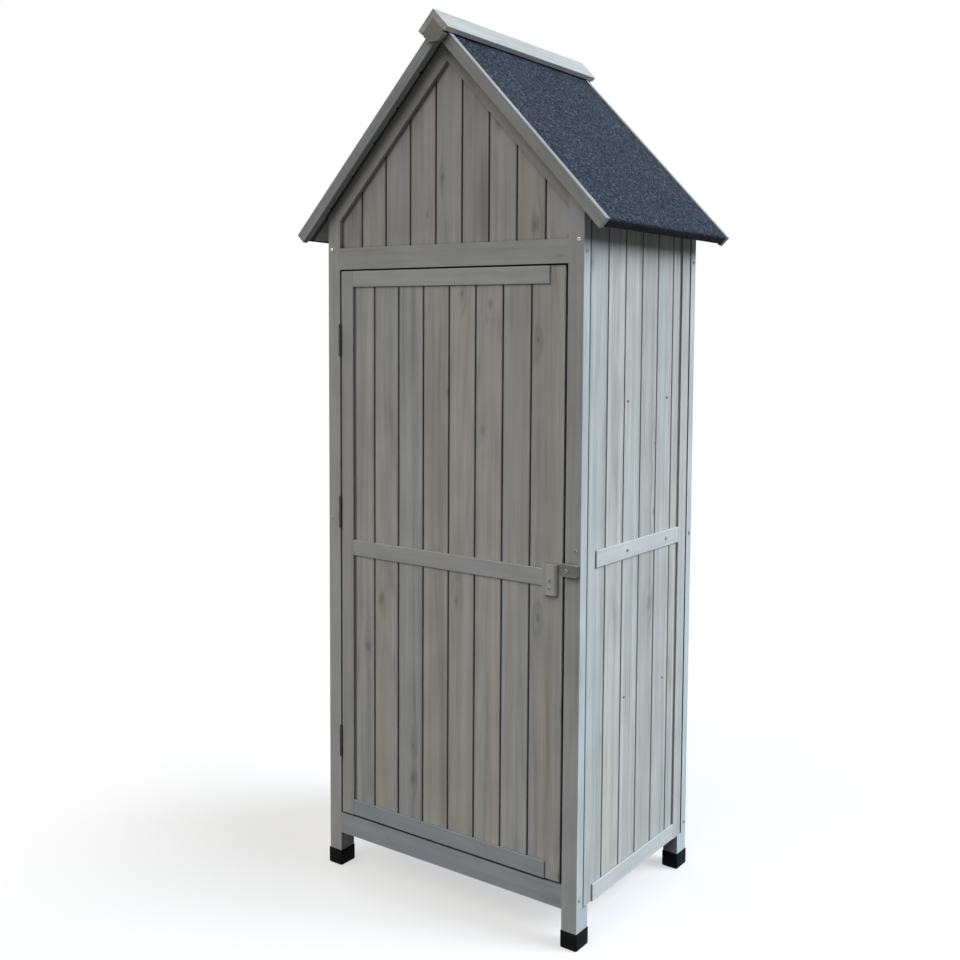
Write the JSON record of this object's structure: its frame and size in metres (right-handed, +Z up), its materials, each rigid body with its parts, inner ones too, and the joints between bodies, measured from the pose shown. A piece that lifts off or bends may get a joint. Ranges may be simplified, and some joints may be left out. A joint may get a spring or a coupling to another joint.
{
  "type": "garden storage cabinet",
  "caption": "Tall narrow timber garden cabinet with a gabled felt roof, a hinged boarded front door with a wooden turn button, slatted shelves inside and capped feet.",
  "frame": {"origin": "on the ground under the middle of the cabinet", "axes": "+Z up, +X to the right seen from the front, -Y towards the front, where the door is"},
  "size_m": [0.7716, 0.542, 1.798],
  "materials": {
    "stained_timber": "thin grey stain on softwood, grain and knots showing, matt",
    "latch_timber": "thin grey stain on rough-sawn softwood, matt",
    "inner_timber": "thin grey stain on softwood, matt",
    "roof_felt": "bitumen sheet with dark mineral granules, matt",
    "foot_cap": "moulded black plastic, slight sheen",
    "hinge_steel": "dark coated steel",
    "screw_steel": "zinc-plated steel"
  },
  "bodies": {
    "cabinet": {"barge_front_left": "stained_timber", "barge_front_right": "stained_timber", "barge_rear_left": "stained_timber", "barge_rear_right": "stained_timber", "door_stop_strip": "inner_timber", "floor_boards": "inner_timber", "foot_cap_front_left": "foot_cap", "foot_cap_front_right": "foot_cap", "foot_cap_rear_left": "foot_cap", "foot_cap_rear_right": "foot_cap", "front_bottom_rail": "stained_timber", "front_gable_boards": "stained_timber", "front_rake_left": "stained_timber", "front_rake_right": "stained_timber", "front_top_rail": "stained_timber", "hinge_pins": "hinge_steel", "hinge_post_leaves": "hinge_steel", "left_eave_rail": "inner_timber", "left_shelf_cleats": "inner_timber", "left_side_battens": "stained_timber", "left_side_boards": "stained_timber", "left_side_stile": "stained_timber", "post_front_left": "stained_timber", "post_front_right": "stained_timber", "post_rear_left": "stained_timber", "post_rear_right": "stained_timber", "post_screws": "screw_steel", "rear_boards": "stained_timber", "rear_bottom_rail": "stained_timber", "rear_middle_rail": "stained_timber", "rear_rake_left": "stained_timber", "rear_rake_right": "stained_timber", "rear_top_rail": "stained_timber", "ridge_plate_front": "stained_timber", "ridge_plate_rear": "stained_timber", "ridge_slat_left": "stained_timber", "ridge_slat_right": "stained_timber", "right_eave_rail": "inner_timber", "right_shelf_cleats": "inner_timber", "right_side_battens": "stained_timber", "right_side_boards": "stained_timber", "right_side_stile": "stained_timber", "roof_deck_left": "stained_timber", "roof_deck_right": "stained_timber", "roof_felt_left": "roof_felt", "roof_felt_right": "roof_felt", "shelf_lower": "inner_timber", "shelf_middle": "inner_timber", "shelf_screws": "screw_steel", "shelf_upper": "inner_timber", "turn_button_screw": "screw_steel"},
    "door": {"door_boards": "stained_timber", "door_bottom_batten": "stained_timber", "door_middle_batten": "stained_timber", "door_stile": "stained_timber", "door_top_batten": "stained_timber", "latch_block": "latch_timber", "latch_block_screws": "screw_steel", "hinge_door_leaves": "hinge_steel"},
    "turn_button": {"turn_button": "latch_timber"}
  },
  "joints": [
    {"name": "door_hinge", "type": "hinge", "parent": "cabinet", "child": "door", "pos_m": [-0.28625, -0.2308, 0.7], "axis": [0, 0, -1], "range_deg": [0, 170]},
    {"name": "turn_button_pivot", "type": "hinge", "parent": "cabinet", "child": "turn_button", "pos_m": [0.2975, -0.2333, 0.73432], "axis": [0, -1, 0], "range_deg": [0, 180]}
  ]
}
